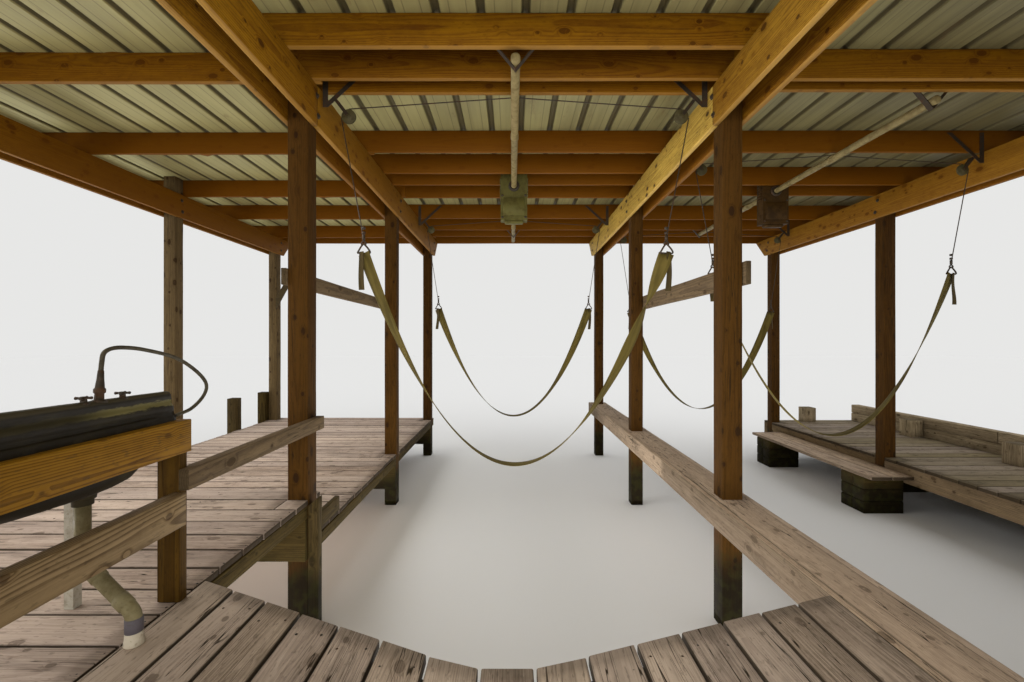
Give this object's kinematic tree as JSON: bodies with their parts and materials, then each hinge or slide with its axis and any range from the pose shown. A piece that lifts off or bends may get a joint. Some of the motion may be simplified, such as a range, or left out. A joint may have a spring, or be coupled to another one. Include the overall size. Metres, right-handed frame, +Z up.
{
  "type": "boathouse",
  "caption": "Open timber boathouse on posts in the water, with a level metal roof, two boat slips, plank decks round them and two overhead sling hoists",
  "frame": {"origin": "middle of the whole in plan, at the level of the water, where the posts stop", "axes": "+Z up, +Y from the rear deck along the slips towards the lake, +X towards the shore"},
  "size_m": [10.87, 10.46, 4.044],
  "materials": {
    "post_wood": "treated pine post, weathered brown",
    "frame_wood": "treated pine plank, orange brown",
    "new_board": "newer yellow pine board",
    "dark_wood": "dark damp timber",
    "deck_wood": "grey brown weathered deck board",
    "roof_sheet": "pale ribbed metal sheet",
    "shaft_paint": "tan painted pipe",
    "drive_paint": "dull olive green paint",
    "hoist_steel": "dark weathered steel",
    "webbing": "olive woven webbing",
    "sink_plastic": "black plastic, dirty",
    "pipe_plastic": "dirty white pipe"
  },
  "bodies": {
    "root": {"left_posts": "post_wood", "slip_left_posts": "post_wood", "slip_right_posts": "post_wood", "shore_posts": "post_wood", "left_girder": "frame_wood", "slip_left_girder": "frame_wood", "slip_right_girder": "frame_wood", "shore_girder": "frame_wood", "left_joists": "frame_wood", "slip_joists": "frame_wood", "shore_joists": "frame_wood", "lake_fascia": "dark_wood", "rear_fascia": "dark_wood", "side_fascias": "dark_wood", "left_roof_sheets": "roof_sheet", "slip_roof_sheets": "roof_sheet", "shore_roof_sheets": "roof_sheet", "rear_deck": "deck_wood", "left_deck": "deck_wood", "lower_deck": "deck_wood", "shore_rear_deck": "deck_wood", "shore_deck": "deck_wood", "deck_beams": "dark_wood", "rear_deck_joists": "dark_wood", "left_deck_joists": "dark_wood", "lower_deck_joists": "dark_wood", "shore_rear_joists": "dark_wood", "shore_deck_joists": "dark_wood", "deck_step_board": "deck_wood", "shore_deck_fascia": "deck_wood", "walkway_plank": "deck_wood", "walkway_beams": "deck_wood", "walkway_blocks": "dark_wood", "boarding_step": "deck_wood", "step_crib": "dark_wood", "shore_curb": "dark_wood", "curb_stubs": "dark_wood", "mooring_piles": "dark_wood", "corner_pile": "post_wood", "left_tie_board": "frame_wood", "right_tie_board": "frame_wood", "knee_brace": "frame_wood", "guard_post": "frame_wood", "guard_boards": "new_board", "hand_rail": "frame_wood", "sink_bowl": "sink_plastic", "sink_legs": "pipe_plastic", "sink_tap": "hoist_steel", "sink_drain": "pipe_plastic", "hoist_shafts": "shaft_paint", "hoist_drives": "drive_paint", "hoist_hangers": "hoist_steel", "hoist_pulleys": "hoist_steel", "hoist_cables": "hoist_steel", "sling_hooks": "hoist_steel", "slip_near_sling": "webbing", "slip_far_sling": "webbing", "shore_near_sling": "webbing", "shore_far_sling": "webbing"}
  },
  "joints": []
}
